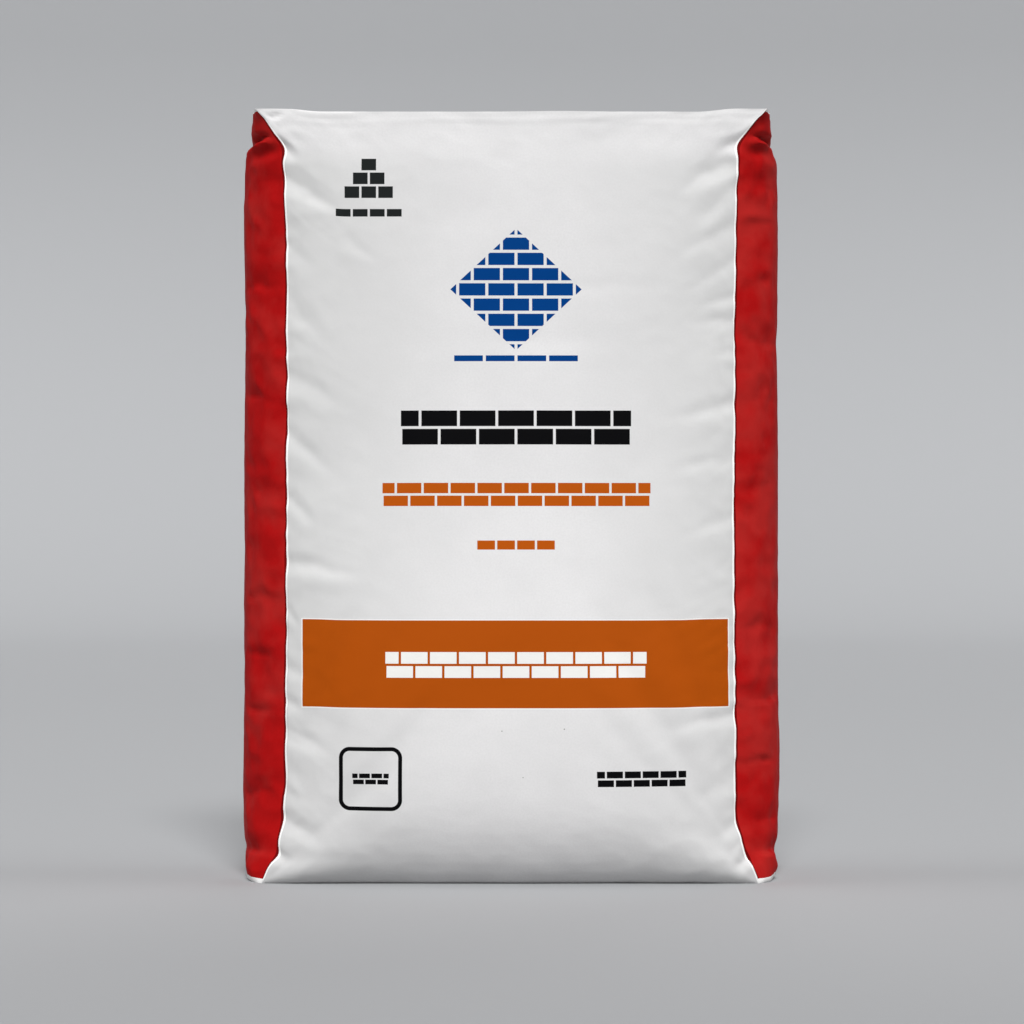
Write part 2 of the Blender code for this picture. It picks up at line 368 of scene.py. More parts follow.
def creaseHeight(place, crease):
    # A trough along a line, with a low ridge on its lower side
    start, end = np.array(crease[0:2], float), np.array(crease[2:4], float)
    depth, width = crease[4:6]
    run = end - start
    length = np.hypot(*run)
    run /= length
    share = (place - start) @ run / length
    aside = (place - start) @ np.array([run[1], -run[0]]) * (1 if run[0] > 0 else -1)
    until, over = creases["end"]
    fade = smooth((share + creases["begin"]) / creases["begin"]) * smooth((until - share) / over)
    wide, lost = creases["narrow"]
    narrow = width * (wide - lost * np.clip(share, 0, 1))
    fold = np.sqrt((aside / narrow) ** 2 + creases["soft"] ** 2)  # its flanks meet in a narrow round
    trough = np.clip(1 + creases["soft"] - fold, 0, 1) ** creases["flank"]
    rise, off, reach = creases["ridge"]
    return depth * fade * (rise * bump(aside - off * narrow, reach * narrow) - trough)


def buckleHeight(fold, height, lip, depth):
    # A dent with a sharp lower lip, and under it a flat triangle that narrows down to the fold. Each one
    # leans and spreads its own way. fold is the share of the side's half width from the fold
    lean, spread = math.sin(lip * 1.3), math.sin(lip * 2.1)
    rise = height - lip - creases["buckleLean"] * lean * fold
    reach = creases["buckleReach"] * (0.88 + 0.14 * spread)
    up = 1 - rise / (creases["buckleUp"] * (1 + 0.5 * spread)) - 0.5 * np.abs(fold - 0.35 - 0.2 * lean)
    down = 1 + rise / (creases["buckleDown"] * (1 - 0.3 * spread)) - 0.8 * fold / reach
    shape = np.where(rise > 0, np.clip(up, 0, 1) ** 1.3, np.clip(down, 0, 1))
    return -depth * shape * (0.3 + 0.7 * smooth(fold / 0.3)) * smooth((reach - fold) / 0.25)


def fineCreases(across, height):
    # Slanting creases that run in and down from the upright folds, between the ones listed
    edge = sack["panelHalf"] - np.abs(across)
    spacing, length = creases["slantScale"]
    top, over = creases["slantTop"]
    along = height + curveAt(creases["slant"], height) * edge
    place = np.stack([along / spacing, edge / length, np.sign(across) * 7.3 + height / 400], 1)
    lines = 1 - np.clip(np.abs(wander(place, 1.0)) / creases["slantWidth"], 0, 1)
    patches = np.clip(wander(place * (0.35, 0.6, 1), 1.0, 31.0) * 2.2 + 0.55, 0, 1)
    fade = 1 - smooth((height - top) / over)
    return -creases["slantDepth"] * smooth(lines) * patches * fade * np.exp(-edge / creases["slantReach"])


tucks = {
    "top": (608.5, 6.5),  # height of the ridge under the upper ears at a fold, and its fall to mid side
    "bottom": 25.5,  # height of the tuck above the lower bulge
    # Depth or height, then middle and reach across the side as shares of its half width from a fold, then two
    # lengths up and down: a valley's lower and upper slope, or a ridge's distance and reach
    "valley": (5.4, 0.42, 0.36, 2.6, 6.0),
    "ridge": (2.0, 0.42, 0.36, 1.4, 2.6),
    "under": (2.6, 0.25, 0.34, 9.5, 5.0),
    "dip": (3.6, 0.42, 0.34, 4.0, 17.0),
    "bulge": (1.0, 0.45, 0.38, 13.0, 7.0),
    "fromFold": 0.15,  # share of the half width over which they come up from a fold
}


def tuckHeight(away, height):
    # The folded-in tucks across the narrow sides, just inside each end
    size = {name: tucks[name][0] * bump(away - tucks[name][1], tucks[name][2])
            for name in ("valley", "ridge", "under", "dip", "bulge")}
    first = {name: tucks[name][3] for name in size}
    second = {name: tucks[name][4] for name in size}
    ridgeTop, fall = tucks["top"]
    over = height - ridgeTop + fall * away ** 1.5
    valley = smooth(over / first["valley"]) * (1 - smooth((over - first["valley"]) / second["valley"]))
    top = size["ridge"] * bump(over + first["ridge"], second["ridge"]) - size["valley"] * valley
    top = top - size["under"] * bump(over + first["under"], second["under"])
    above = height - tucks["bottom"]
    dip = np.where(above > 0, 1 - smooth(above / second["dip"]), 1 - smooth(-above / first["dip"]))
    bottom = size["bulge"] * bump(height - first["bulge"], second["bulge"]) - size["dip"] * dip
    return (top + bottom) * smooth(away / tucks["fromFold"])


crumples = {
    # creases wander off their lines on this scale, this far, less within this distance of a fold, and the
    # buckles' lips take this share of it
    "drift": (22.0, 3.0, 25, 0.9),
    "fine": (9.0, 0.25),  # scale and depth of the fine crumples
    "dents": (21.0, 1.3, 0.25),  # the same for dents with sharp ridges, and the ridges' level
    "share": (0.12, 0.8, 0.5),  # share of both anywhere, by a fold and by an end
    "byFold": 30,  # how far they reach from a fold in front and behind
    "onSide": (2.2, 1.9, 0.55, 0.4),  # strength by a side's fold, its loss, and where across the side
    "byEnd": (40, 45),  # how far they reach from the lower and the upper end
    "onEnd": 0.3,  # share that shows on the ends
    "swells": (70.0, 40, 0.2),  # scale of the 1 mm swells, their rise from a fold, and its start
    "flatCrease": (0.7, 2.5),  # height and width of the flat tube's crease down each side
    "bands": (60, 3.6, 0.35, 616, 8),  # length, spacing, height, start and rise of the ripples under the top
}


def crumpleHeight(sheet, edge, away, onSide):
    # Crumples and dents, most of all by the folds and the ends
    scale, depth = crumples["fine"]
    crumple = wander(sheet, scale, 5.5) * depth
    scale, depth, level = crumples["dents"]
    crumple = crumple + (level - np.abs(wander(sheet, scale, 9.1))) * depth
    lower, upper = crumples["byEnd"]
    nearEnd = np.exp(-sheet[:, 2] / lower) + np.exp(-(sack["height"] - sheet[:, 2]) / upper)
    strength, lost, start, over = crumples["onSide"]
    nearFold = np.where(onSide, strength - lost * smooth((away - start) / over),
                        np.exp(-edge / crumples["byFold"]))
    anywhere, byFold, byEnd = crumples["share"]
    return crumple * (anywhere + byFold * nearFold + byEnd * nearEnd)


def sackRelief(sheet):
    # How far each point moves along its normal, in millimetres
    across, deep, height = sheet.T
    onFront, onBack, onSide, onEnd = facesOf(sheet)
    edge = sack["panelHalf"] - np.abs(across)
    away = np.clip(1 - np.abs(deep) / sack["girdleHalf"], 0, 1)  # 0 at a fold, 1 at the side's middle
    scale, far, fromFold, lips = crumples["drift"]
    drift = np.stack([wander(sheet, scale, 3.1), wander(sheet, scale, 17.7)], 1) * far
    place = np.stack([across, height], 1) + drift * smooth(edge / fromFold)[:, None]
    face, back = np.zeros(len(sheet)), np.zeros(len(sheet))
    for crease in creases["front"]:
        face += creaseHeight(place, crease)
    for x, z, wide, tall, depth in creases["hollows"]:
        face -= depth * np.exp(-((place[:, 0] - x) / wide) ** 2 - ((place[:, 1] - z) / tall) ** 2)
    relief = np.where(onFront, face, 0)
    inwards, inwardsMore, down, downMore, share, width = creases["ontoBack"]
    for (leftRight, frontBack), buckles in creases["buckles"].items():
        near = onSide & (across * leftRight > 0) & (deep * frontBack >= 0)
        for lip, size in buckles:
            dent = buckleHeight(away, height + drift[:, 1] * lips, lip, size * creases["buckleDepth"])
            relief += np.where(near, dent, 0)
            if frontBack > 0:
                x = leftRight * sack["panelHalf"]
                back += creaseHeight(place, (x, lip, x - leftRight * (inwards + inwardsMore * size),
                                             lip - down - downMore * size, share * size, width))
    line, step, width, level = creases["seam"]
    seam = smooth((across - line) / width) * (1 - smooth((across - line) / level))
    relief += np.where(onBack, back - step * seam, 0)
    relief += np.where(onFront | onBack, fineCreases(across, height), 0)
    relief += np.where(onSide, tuckHeight(away, height), 0)
    relief += crumpleHeight(sheet, edge, away, onSide) * np.where(onEnd, crumples["onEnd"], 1.0)
    scale, reach, start = crumples["swells"]
    relief += wander(sheet, scale, 2.3) * smooth(edge / reach + start) * (onFront | onBack)
    tall, wide = crumples["flatCrease"]
    relief += np.where(onSide, tall * bump(deep, wide), 0)
    relief += np.where(onEnd, flapHeight(across / sack["panelHalf"], deep / sack["girdleHalf"]), 0)
    length, spacing, tall, start, rise = crumples["bands"]
    bands = wander(sheet * (1 / length, 0, 1 / spacing), 1.0, 4.4)
    return relief + np.where(onFront | onBack, tall * bands * smooth((height - start) / rise), 0)


stuffing = {
    "grow": (0.004, 0.004, 0.014),  # how much more paper there is than the form takes, on each axis
    "uneven": (18.0, 0.35),  # scale and size of that spare paper's unevenness
    "pressure": 4.0,
    "mass": 0.2,
    "stiffness": 40.0,
    "bending": 0.3,
    "damping": 25,
    "slowing": 2,  # damping of the bending and by the air
    "frames": 22,
    "quality": 6,
    "reach": 5.0,  # no point may move further, in millimetres
    "evening": 60,  # rounds of averaging that tell swelling from wrinkles
    "front": 0.6,  # share of the wrinkles that the tighter front keeps
}


def average(mesh, values, rounds):
    # The values at a mesh's points, averaged with their neighbours' time after time
    pairs = np.empty(len(mesh.edges) * 2, np.int32)
    mesh.edges.foreach_get("vertices", pairs)
    first, second = pairs.reshape(-1, 2).T
    ends, others = np.concatenate([first, second]), np.concatenate([second, first])
    count = np.bincount(ends, minlength=len(values))[:, None]
    for step in range(rounds):
        around = [np.bincount(ends, weights=values[others, axis], minlength=len(values)) for axis in range(3)]
        values = (values + np.stack(around, 1) / count) / 2
    return values


def stuff(blank):
    # Cloth under the cement's pressure, held at both ends: the spare paper gathers into wrinkles
    mesh = blank.data
    points, sheet = readPoints(mesh), readSheet(mesh)
    onFront, onBack, onSide, onEnd = facesOf(sheet)
    blank.shape_key_add(name="form")
    cut = blank.shape_key_add(name="cut")
    scale, size = stuffing["uneven"]
    unevenness = np.stack([wander(sheet, scale, offset) for offset in (1.7, 8.2, 5.9)], 1)
    spare = sackMiddle + (points - sackMiddle) * (1 + np.array(stuffing["grow"])) + unevenness * size * mm
    cut.data.foreach_set("co", spare.ravel())
    held = blank.vertex_groups.new(name="held")
    held.add([int(i) for i in np.nonzero(onEnd)[0]], 1.0, "REPLACE")
    cloth = blank.modifiers.new("Cloth", "CLOTH")
    cloth.collision_settings.use_collision = False
    cloth.point_cache.frame_start, cloth.point_cache.frame_end = 1, stuffing["frames"]
    paper = cloth.settings
    paper.quality = stuffing["quality"]
    paper.mass = stuffing["mass"]
    paper.tension_stiffness = paper.compression_stiffness = stuffing["stiffness"]
    paper.shear_stiffness = stuffing["stiffness"] / 2
    paper.bending_stiffness = stuffing["bending"]
    paper.tension_damping = paper.compression_damping = paper.shear_damping = stuffing["damping"]
    paper.bending_damping = paper.air_damping = stuffing["slowing"]
    paper.use_pressure = True
    paper.uniform_pressure_force = stuffing["pressure"]
    paper.vertex_group_mass = "held"
    paper.rest_shape_key = cut
    paper.effector_weights.gravity = 0
    for frameNumber in range(1, stuffing["frames"] + 1):
        bpy.context.scene.frame_set(frameNumber)
    graph = bpy.context.evaluated_depsgraph_get()
    moves = readPoints(blank.evaluated_get(graph).data) - points
    moves -= average(mesh, moves, stuffing["evening"])
    moves[onFront] *= stuffing["front"]
    blank.modifiers.remove(cloth)
    blank.shape_key_clear()
    blank.vertex_groups.clear()
    bpy.context.scene.frame_set(1)
    far = np.linalg.norm(moves, axis=1)
    reach = stuffing["reach"] * mm
    writePoints(mesh, points + moves * (np.minimum(far, reach) / np.maximum(far, 1e-9))[:, None])
    print("stuffed: moved", round(far.mean() / mm, 2), "mm on average,",
          round(far.max() / mm, 2), "mm at most")


def makeSack():
    blank = makeSackBlank()
    stuff(blank)
    powder = makeCement(blank)
    halving = blank.modifiers.new("Halving", "SUBSURF")
    halving.levels = halving.render_levels = 1
    piece = settle(blank)
    mesh = piece.data
    points, sheet = readPoints(mesh), readSheet(mesh)
    moved = points + readVectors(mesh.vertex_normals, "vector") * (sackRelief(sheet) * mm)[:, None]
    moved[:, 2] = np.maximum(moved[:, 2], sack["floorGap"] * mm)
    writePoints(mesh, moved)
    mesh.shade_smooth()
    mesh.set_sharp_from_angle(angle=sack["sharpAngle"])
    print("sack:", len(mesh.vertices), "points")
    return piece, powder


cement = {
    "inset": (3.0, 3.0, 2.0),  # how far the powder keeps inside the sack on each axis
    "atEnds": (6.0, 40.0),  # it keeps further in near both ends, behind the tucks, and over this height
}


def makeCement(blank):
    # The powder takes the sack's form, its dents too, a little way in
    mesh = blank.data.copy()
    mesh.name = "cement"
    points, sheet = readPoints(mesh), readSheet(mesh)
    extra, reach = cement["atEnds"]
    fromEnd = np.minimum(sheet[:, 2], sack["height"] - sheet[:, 2])
    keep = np.array(cement["inset"]) + np.outer(1 - smooth(fromEnd / reach), (extra, extra, 0))
    dents = np.minimum(sackRelief(sheet), 0) * mm
    dented = points + readVectors(mesh.vertex_normals, "vector") * dents[:, None]
    shrunk = (dented - sackMiddle) * (1 - keep / (*sack["endHalf"], sack["height"] / 2))
    writePoints(mesh, sackMiddle + shrunk)
    mesh.shade_smooth()
    return addObject("cement", mesh)


def thicken(name, mesh, thickness, even):
    # A sheet of paper with its thickness grown inwards
    piece = addObject(name, mesh)
    wall = piece.modifiers.new("Paper", "SOLIDIFY")
    wall.thickness = thickness * mm
    wall.offset = -1.0
    wall.use_even_offset = even
    piece = settle(piece)
    piece.data.shade_smooth()
    piece.data.set_sharp_from_angle(angle=0.7)
    return piece


def makePatch(name, atTop):
    # A sheet of paper glued over the folded flaps, which show through it as soft steps
    halfX, halfY = patch["half"]
    grid = bmesh.new()
    bmesh.ops.create_grid(grid, x_segments=patch["cells"][0], y_segments=patch["cells"][1], size=1.0)
    bmesh.ops.scale(grid, vec=(halfX, halfY, 1.0), verts=grid.verts)
    mesh = toMesh(grid, name)
    points = readPoints(mesh)
    scale, tall = patch["ripple"]
    ripple = wander(points, scale, 4.0 if atTop else 12.0) * tall
    if atTop:
        across, deep = points[:, 0] / sack["endHalf"][0], points[:, 1] / sack["endHalf"][1]
        spacing, drawn, tall = patch["ridges"]
        ridges = np.abs(wander(points * (drawn, 1, 1), spacing, 6.0)) * tall
        before, overEnd, beside, overSide = patch["sleeveSlope"]
        raised = smooth((points[:, 0] - sleeve["reach"][0] + before) / overEnd)
        raised = raised * smooth((sleeve["half"] + beside - np.abs(points[:, 1])) / overSide)
        height = sack["height"] + topHeight(across, deep) + flapHeight(across, deep) * patch["flapsShow"]
        height = height + patch["lift"] + ripple + ridges + raised * patch["overSleeve"]
        points[:, 2] = height + patch["paper"]
    else:
        gap, share = patch["onFloor"]
        points[:, 2] = patch["paper"] + gap + np.abs(ripple) * share
    writePoints(mesh, points * mm)
    return thicken(name, mesh, patch["paper"], True)


def makeSleeve():
    # A flattened tube of brown paper for filling the sack, open at its mouth and at its inner end
    start, mouth = sleeve["reach"]
    tube = bmesh.new()
    bmesh.ops.create_cube(tube, size=2.0)
    for axis in range(2):
        cutAlong(tube, axis, sleeve["cells"][axis])
    openEnds = [face for face in tube.faces if abs(face.normal.x) > 0.5]
    bmesh.ops.delete(tube, geom=openEnds, context="FACES_ONLY")
    mesh = toMesh(tube, "fillingSleeve")
    points = readPoints(mesh)
    x = start + (mouth - start) * (points[:, 0] + 1) / 2
    y = points[:, 1] * sleeve["half"]
    across, deep = x / sack["endHalf"][0], y / sack["endHalf"][1]
    rounded = 1 - np.abs(points[:, 1]) ** 6
    opening, wide, uneven = sleeve["gape"]
    gape = smooth((x - mouth + opening) / opening) * (1 - points[:, 1] ** 2)
    base = sack["height"] + topHeight(across, deep) - sleeve["dent"] + sleeve["lift"]
    top = points[:, 2] > 0
    ply = np.stack([x, y, x * 0], 1)
    upper, lower = sleeve["sideFold"]
    z = base + np.where(top, sleeve["height"] * (upper + (1 - upper) * rounded),
                        sleeve["height"] * lower * (1 - rounded))
    scale, tall = sleeve["ripple"]
    z += np.where(top, gape * (wide + uneven * wander(ply, 30.0, 3.0)), 0) + wander(ply, scale, 9.0) * tall
    writePoints(mesh, np.stack([x, y, z], 1) * mm)
    return thicken("fillingSleeve", mesh, sleeve["paper"], False)


def linear(colour):
    # "#rrggbb" in sRGB to the linear RGBA that shaders take
    parts = [int(colour[i:i + 2], 16) / 255 for i in (1, 3, 5)]
    return [c / 12.92 if c <= 0.04045 else ((c + 0.055) / 1.055) ** 2.4 for c in parts] + [1.0]


def setInputs(tree, node, inputs):
    for name, value in inputs.items():
        if isinstance(value, bpy.types.NodeSocket):
            tree.links.new(value, node.inputs[name])
        else:
            node.inputs[name].default_value = value


def addNode(tree, kind, settings=None, inputs=None):
    # Adds a node with its settings and links, and gives its outputs
    node = tree.nodes.new("ShaderNode" + kind)
    for name, value in (settings or {}).items():
        setattr(node, name, value)
    setInputs(tree, node, inputs or {})
    return node.outputs


def newMaterial(name):
    material = bpy.data.materials.new(name)
    material.use_nodes = True
    return material, material.node_tree, material.node_tree.nodes["Principled BSDF"]


def layered(tree, under, over, *masks):
    # One colour laid over another, as far as all the masks let it through
    share = masks[0]
    for mask in masks[1:]:
        share = addNode(tree, "Math", {"operation": "MULTIPLY"}, {0: share, 1: mask})[0]
    mixed = addNode(tree, "Mix", {"data_type": "RGBA"}, {"Factor": share, 6: under, 7: over})
    return mixed[2]


def inMillimetres(tree):
    # A piece's own coordinates, in millimetres
    place = addNode(tree, "TexCoord")["Object"]
    return addNode(tree, "Mapping", {}, {"Vector": place, "Scale": [1 / mm] * 3})[0]


def paperBump(tree, place, fibre, cockle):
    # The paper's own surface: fibres, drawn a little coarser than their real 0.3 mm so that they show, and
    # the cockle of damp-dried paper about 9 mm across. fibre and cockle are heights in millimetres
    fine = addNode(tree, "TexNoise", {}, {"Vector": place, "Scale": 1 / 0.7, "Detail": 3.0})
    wide = addNode(tree, "TexNoise", {}, {"Vector": place, "Scale": 1 / 9.0, "Detail": 2.0})
    wide = addNode(tree, "Math", {"operation": "MULTIPLY"}, {0: wide["Fac"], 1: cockle})
    height = addNode(tree, "Math", {"operation": "MULTIPLY_ADD"}, {0: fine["Fac"], 1: fibre, 2: wide[0]})
    bumped = addNode(tree, "Bump", {}, {"Height": height[0], "Distance": mm, "Strength": 1.0})
    return bumped["Normal"]


printing = {
    # A plain pattern of courses of bricks on the front, in millimetres: middle across and up from the floor,
    # half sizes, length and height of a brick, joint, ink
    "walls": (
        ((4.1, 430.5), (52.0, 3.6), (26.0, 7.2), 2.4, "blue"),
        ((-117.2, 567.0), (20.7, 5.7), (13.8, 11.4), 1.8, "grey"),
        ((-117.2, 578.4), (13.8, 5.7), (13.8, 11.4), 1.8, "grey"),
        ((-117.2, 589.8), (6.9, 5.7), (13.8, 11.4), 1.8, "grey"),
        ((-117.2, 550.0), (28.0, 4.0), (14.0, 8.0), 1.8, "grey"),
        ((4.1, 373.9), (94.5, 15.0), (31.5, 15.0), 2.2, "black"),
        ((4.5, 319.3), (110.0, 10.4), (22.0, 10.4), 1.9, "orange"),
        ((4.1, 278.1), (32.6, 4.6), (16.3, 9.2), 1.8, "orange"),
        ((106.8, 88.2), (36.75, 7.0), (14.7, 7.0), 1.5, "black"),
        ((4.1, 181.0), (106.7, 11.4), (23.7, 11.4), 2.0, "pale"),
        ((-114.8, 88.2), (15.0, 5.0), (10.0, 5.0), 1.2, "black"),
    ),
    "diamond": ((4.1, 487.0), (54.0, 50.0), (24.0, 12.5), 2.4),
    "banner": ((4.1, 181.5), (175.2, 35.5), 1.0),  # middle, half sizes, pale line round it
    "badge": ((-114.8, 88.2), 26.0, 9.0, 3.3),  # middle, half side, corner radius, stroke
    "specks": ((-7.4, 127.5, 0.5), (43.4, 129.1, 0.55), (9.8, 89.9, 0.45)),
    "speckRound": 0.9,  # their corner radius as a share of their half size
    "inks": {"blue": "#003a7b", "grey": "#1f2222", "black": "#09090b", "orange": "#ae4f0c",
             "banner": "#a54a0a", "pale": "#e2e1de", "speck": "#8f8f8c"},
    "corner": 0.4,  # corner radius of the walls
    "softness": 0.12,  # half the width over which an edge of ink fades
    "diamondSoftness": 0.002,  # the same on the diamond, as a share of its half size
}


def blockMask(tree, flat, middle, half, corner=printing["corner"]):
    # 1 inside a rectangle with rounded corners, 0 outside it
    away = flat
    for operation, value in (("SUBTRACT", (*middle, 0)), ("ABSOLUTE", (0, 0, 0)),
                             ("SUBTRACT", (half[0] - corner, half[1] - corner, 0)), ("MAXIMUM", (0, 0, 0))):
        away = addNode(tree, "VectorMath", {"operation": operation}, {0: away, 1: value})[0]
    away = addNode(tree, "VectorMath", {"operation": "LENGTH"}, {0: away})["Value"]
    soft = printing["softness"]
    edge = {"Value": away, "From Min": corner + soft, "From Max": corner - soft}
    return addNode(tree, "MapRange", {}, edge)[0]


def diamondMask(tree, flat, middle, half):
    away = flat
    for operation, value in (("SUBTRACT", (*middle, 0)), ("ABSOLUTE", (0, 0, 0))):
        away = addNode(tree, "VectorMath", {"operation": operation}, {0: away, 1: value})[0]
    away = addNode(tree, "VectorMath", {"operation": "DOT_PRODUCT"},
                   {0: away, 1: (1 / half[0], 1 / half[1], 0)})["Value"]
    soft = printing["diamondSoftness"]
    return addNode(tree, "MapRange", {}, {"Value": away, "From Min": 1 + soft, "From Max": 1 - soft})[0]


def brickMask(tree, flat, corner, brick, joint):
    # 1 on the bricks of a half-bond wall and 0 on its joints. The texture's joint is at most an eighth of its
    # unit, so a brick is made half a unit long
    scale = 0.5 / brick[0]
    place = addNode(tree, "Mapping", {},
                    {"Vector": flat, "Location": (-corner[0] * scale, -corner[1] * scale, 0),
                     "Scale": (scale, scale, 1)})
    wall = addNode(tree, "TexBrick", {},
                   {"Vector": place[0], "Scale": 1.0, "Mortar Size": joint / 2 * scale,
                    "Mortar Smooth": 0.0, "Brick Width": 0.5, "Row Height": brick[1] * scale})
    bare = addNode(tree, "Math", {"operation": "SUBTRACT"}, {0: 1.0, 1: wall["Fac"]})
    return bare[0]


def printedFront(tree, flat, paper):
    # The printed pattern over the bare paper's colour
    inks = {name: linear(colour) for name, colour in printing["inks"].items()}
    middle, (halfX, halfY), line = printing["banner"]
    drawn = layered(tree, paper, inks["pale"], blockMask(tree, flat, middle, (halfX + line, halfY + line)))
    drawn = layered(tree, drawn, inks["banner"], blockMask(tree, flat, middle, (halfX, halfY)))
    for middle, half, brick, joint, ink in printing["walls"]:
        corner = (middle[0] - half[0], middle[1] - half[1] - brick[1] * 3)  # the lowest course is whole
        bricks = brickMask(tree, flat, corner, brick, joint)
        drawn = layered(tree, drawn, inks[ink], blockMask(tree, flat, middle, half), bricks)
    middle, half, brick, joint = printing["diamond"]
    corner = (middle[0] - 10.5 * brick[0], middle[1] - 10.5 * brick[1])  # a brick lies on its middle
    bricks = brickMask(tree, flat, corner, brick, joint)
    drawn = layered(tree, drawn, inks["blue"], diamondMask(tree, flat, middle, half), bricks)
    middle, side, radius, stroke = printing["badge"]
    outer = blockMask(tree, flat, middle, (side, side), radius)
    inner = blockMask(tree, flat, middle, (side - stroke, side - stroke), radius - stroke)
    ring = addNode(tree, "Math", {"operation": "SUBTRACT"}, {0: outer, 1: inner})[0]
    drawn = layered(tree, drawn, inks["black"], ring)
    for x, z, size in printing["specks"]:
        speck = blockMask(tree, flat, (x, z), (size, size), size * printing["speckRound"])
        drawn = layered(tree, drawn, inks["speck"], speck)
    return drawn


sackFinish = {
    "paper": ("#d6d5d5", "#dbdada", 45.0),  # bleached paper, darker and lighter in clouds, and their size
    "fibres": ("#cccbcb", 1.6, 0.35),  # darker fibres in it, their spacing and their strength
    "paintedFoldShade": ("#c7c7c6", 8.0, 40.0),  # painted shade greying the paper towards the folds, where across it is lightest, and for how far
    # heights from which and to which the painted shade changes, and its share at each
    "paintedFoldShadeShares": ((606.0, 586.0, 0.0, 1.0), (135.0, 175.0, 0.7, 0.9)),
    "bare": ("#f4f4f2", 0.65, 0.7),  # line without ink along a fold, painted lighter than the paper as a highlight on the fold's crest, its width in front and beside
    "red": ("#a30e0f", "#ab1314", 6.0),  # ink, thicker and thinner in clouds, and their size
    "rubbedAndSheen": ("#b12f2b", 34.0, 0.5),  # rubbed ink and a painted sheen: lighter red patches, the size and strength of its places
    "rubbedAndSheenFrom": (0.40, 0.64, 0.00025),  # noise where they start and are full, and its rise to the right
    "lipShadow": ("#6d0a0b", 2.1),  # painted shadow under the fold's lip, a dark red beside the bare line, and how far it reaches
    "redFoot": (4.0, 0.035),  # height where the red begins at a fold, and its rise towards mid side
    "redTop": 2.4,  # how far under the upper end it stops
    "roughness": (0.55, 0.68),
}


